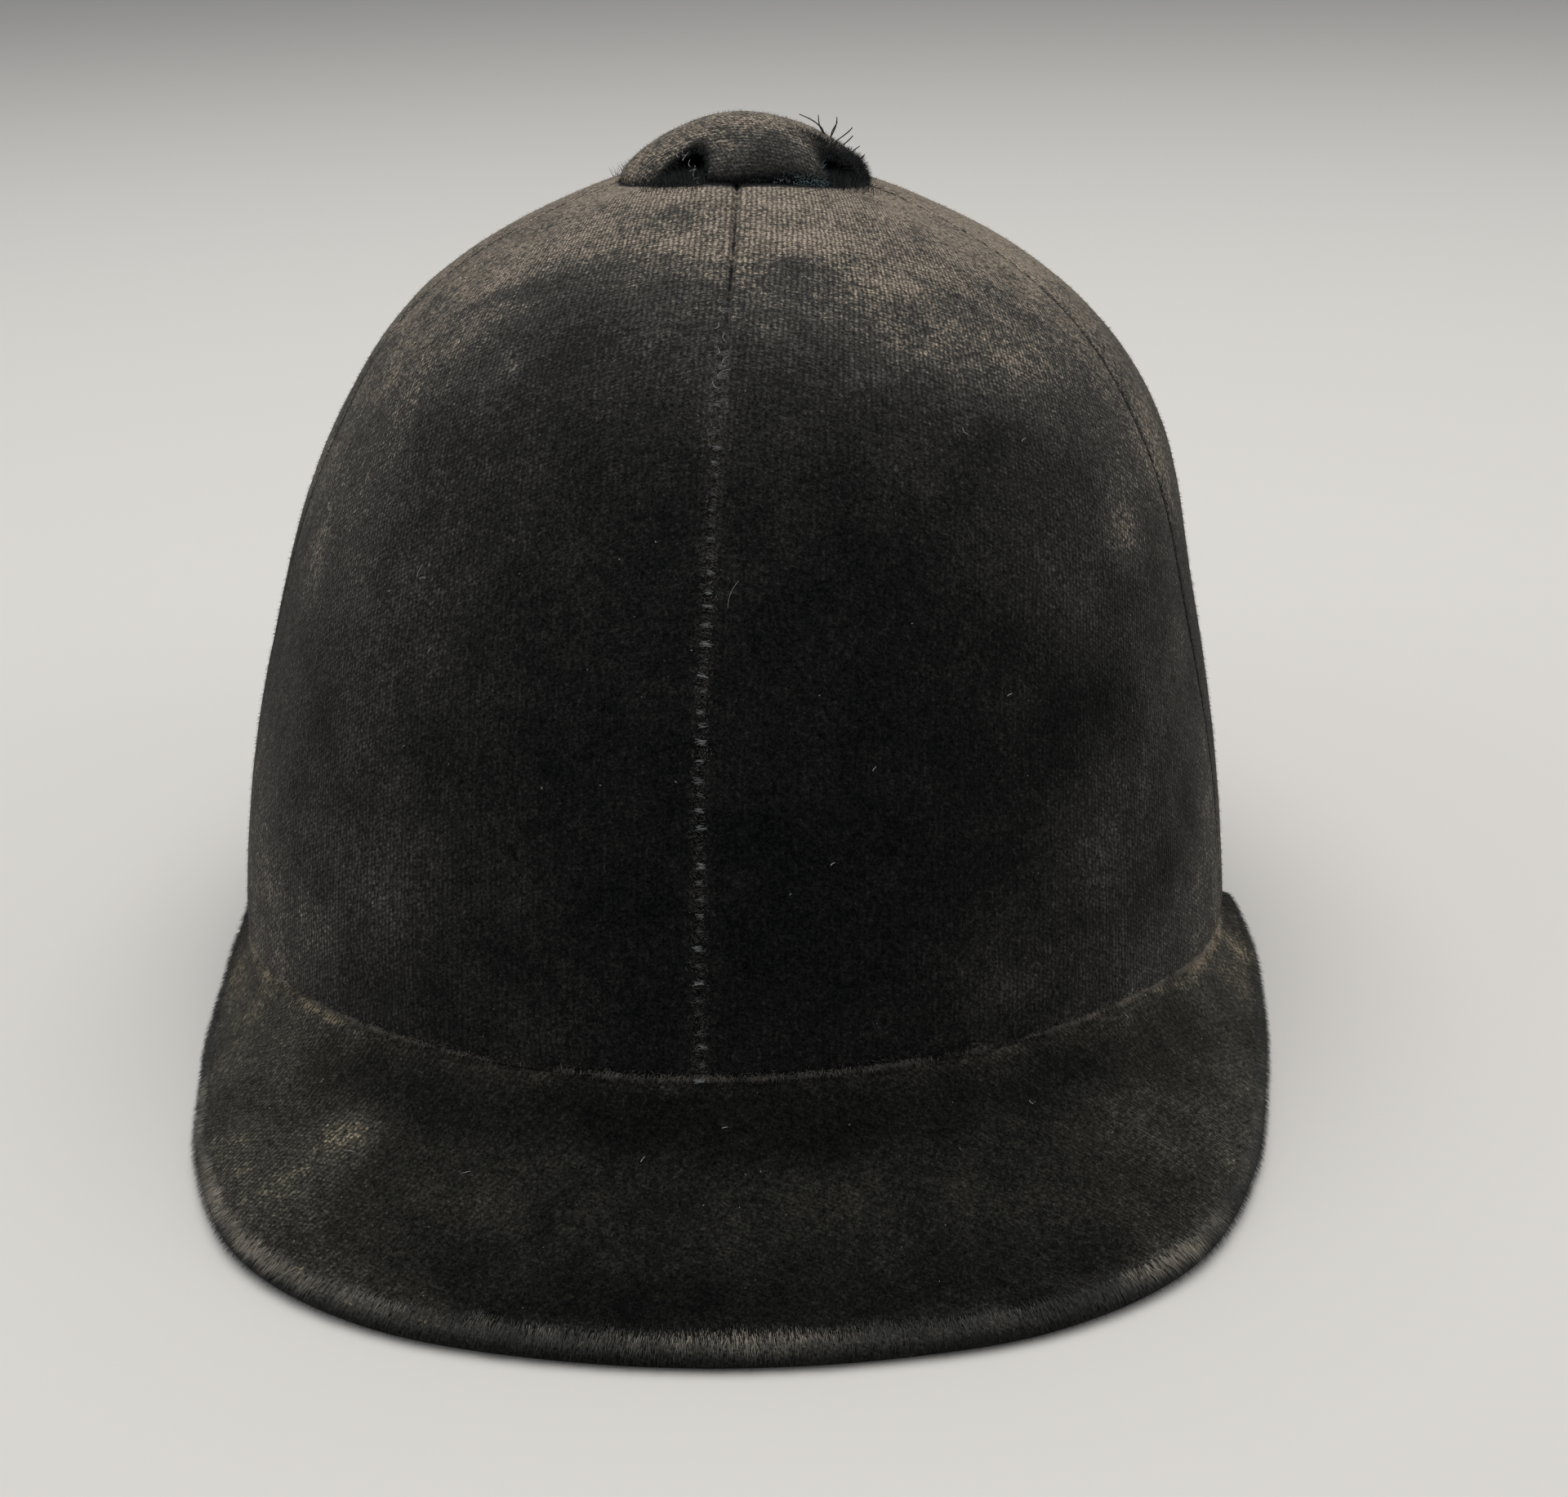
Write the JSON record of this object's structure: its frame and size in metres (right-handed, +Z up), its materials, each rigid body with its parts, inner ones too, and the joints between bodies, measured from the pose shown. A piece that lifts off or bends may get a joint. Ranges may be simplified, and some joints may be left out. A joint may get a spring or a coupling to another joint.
{
  "type": "hunt cap",
  "caption": "Velvet-covered hunt cap with a tall domed crown of sewn panels, a short peak with a rolled edge and a domed vented button.",
  "frame": {"origin": "on the surface that the cap stands on, below the middle of its outline", "axes": "+Z up, the peak points to -Y, +X is the wearer's left"},
  "size_m": [0.1876, 0.2646, 0.1512],
  "materials": {
    "crown_velvet": "faded cotton velvet with a worn pile, brown at the top and near black below",
    "peak_velvet": "faded cotton velvet with its pile brushed up at the rolled edge",
    "button_velvet": "threadbare brown velvet with frayed black pile at the vents"
  },
  "bodies": {
    "root": {"crown_panel_front_left": "crown_velvet", "crown_panel_front_right": "crown_velvet", "crown_panel_rear_left": "crown_velvet", "crown_panel_rear_right": "crown_velvet", "peak": "peak_velvet", "top_button": "button_velvet"}
  },
  "joints": []
}
